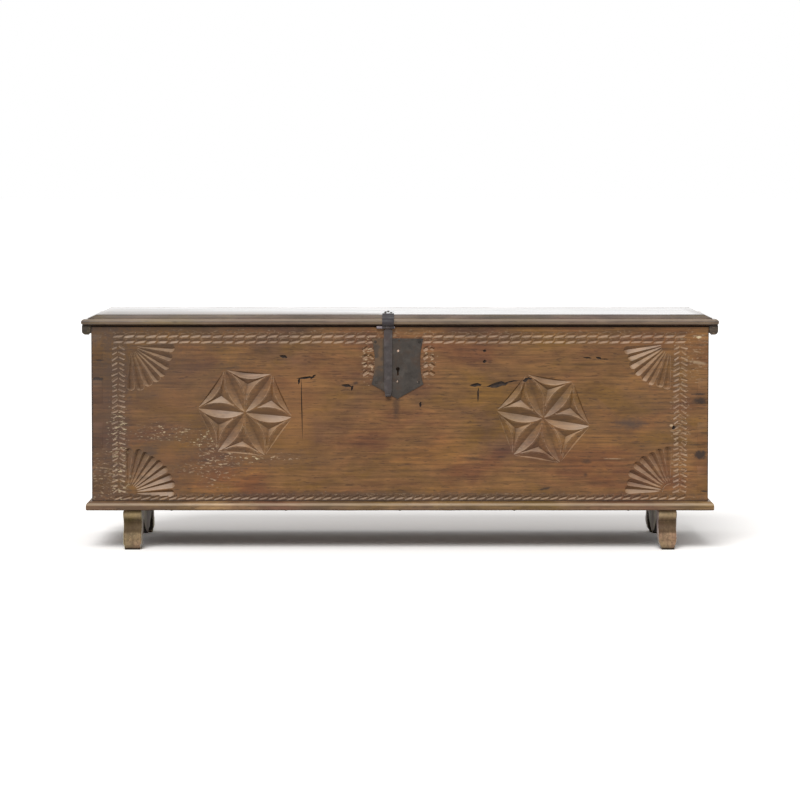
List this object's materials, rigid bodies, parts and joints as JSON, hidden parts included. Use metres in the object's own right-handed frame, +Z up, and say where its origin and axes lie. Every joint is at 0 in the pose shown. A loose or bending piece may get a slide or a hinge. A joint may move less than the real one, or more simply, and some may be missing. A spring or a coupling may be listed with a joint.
{
  "type": "blanket chest",
  "caption": "Long low antique wooden chest with a hinged lid, moulded edges, iron lock plate and hasp, on shaped runner feet.",
  "frame": {"origin": "on the floor, under the middle of the whole object's bounding box", "axes": "+X along the chest to the right seen from the front, +Y from front to back, +Z up"},
  "size_m": [1.5, 0.478, 0.5591],
  "materials": {
    "carcase_wood": "waxed, worn",
    "lid_wood": "waxed, glossy",
    "edge_wood": "rubbed",
    "foot_wood": "dry, worn",
    "forged_iron": "forged, dull"
  },
  "bodies": {
    "case": {"front_board": "carcase_wood", "back_board": "carcase_wood", "left_side_board": "carcase_wood", "right_side_board": "carcase_wood", "bottom_board": "edge_wood", "left_runner_foot": "foot_wood", "right_runner_foot": "foot_wood", "foot_pegs": "foot_wood", "bottom_nails": "forged_iron", "lock_plate": "forged_iron", "lock_plate_nails": "forged_iron", "bolt_keepers": "forged_iron", "bolt_spring": "forged_iron", "spring_rivet": "forged_iron", "left_hinge_back_leaf": "forged_iron", "right_hinge_back_leaf": "forged_iron", "hinge_pins": "forged_iron", "back_leaf_nails": "forged_iron"},
    "lid": {"lid_board": "lid_wood", "left_lid_cleat": "lid_wood", "right_lid_cleat": "lid_wood", "cleat_nails": "forged_iron", "left_hinge_lid_leaf": "forged_iron", "right_hinge_lid_leaf": "forged_iron", "lid_leaf_nails": "forged_iron", "hasp_strap": "forged_iron", "hasp_strap_nails": "forged_iron", "hasp_pin": "forged_iron"},
    "hasp": {"hasp": "forged_iron", "hasp_staple": "forged_iron"},
    "bolt": {"lock_bolt": "forged_iron"}
  },
  "joints": [
    {"name": "lid_hinge", "type": "hinge", "parent": "case", "child": "lid", "pos_m": [0, 0.23355, 0.53125], "axis": [-1, 0, 0], "range_deg": [0, 100]},
    {"name": "hasp_hinge", "type": "hinge", "parent": "lid", "child": "hasp", "pos_m": [-0.028, -0.22885, 0.5254], "axis": [-1, 0, 0], "range_deg": [0, 120]},
    {"name": "lock_bolt_slide", "type": "slide", "parent": "case", "child": "bolt", "axis": [-1, 0, 0], "range_m": [0, 0.012]}
  ]
}
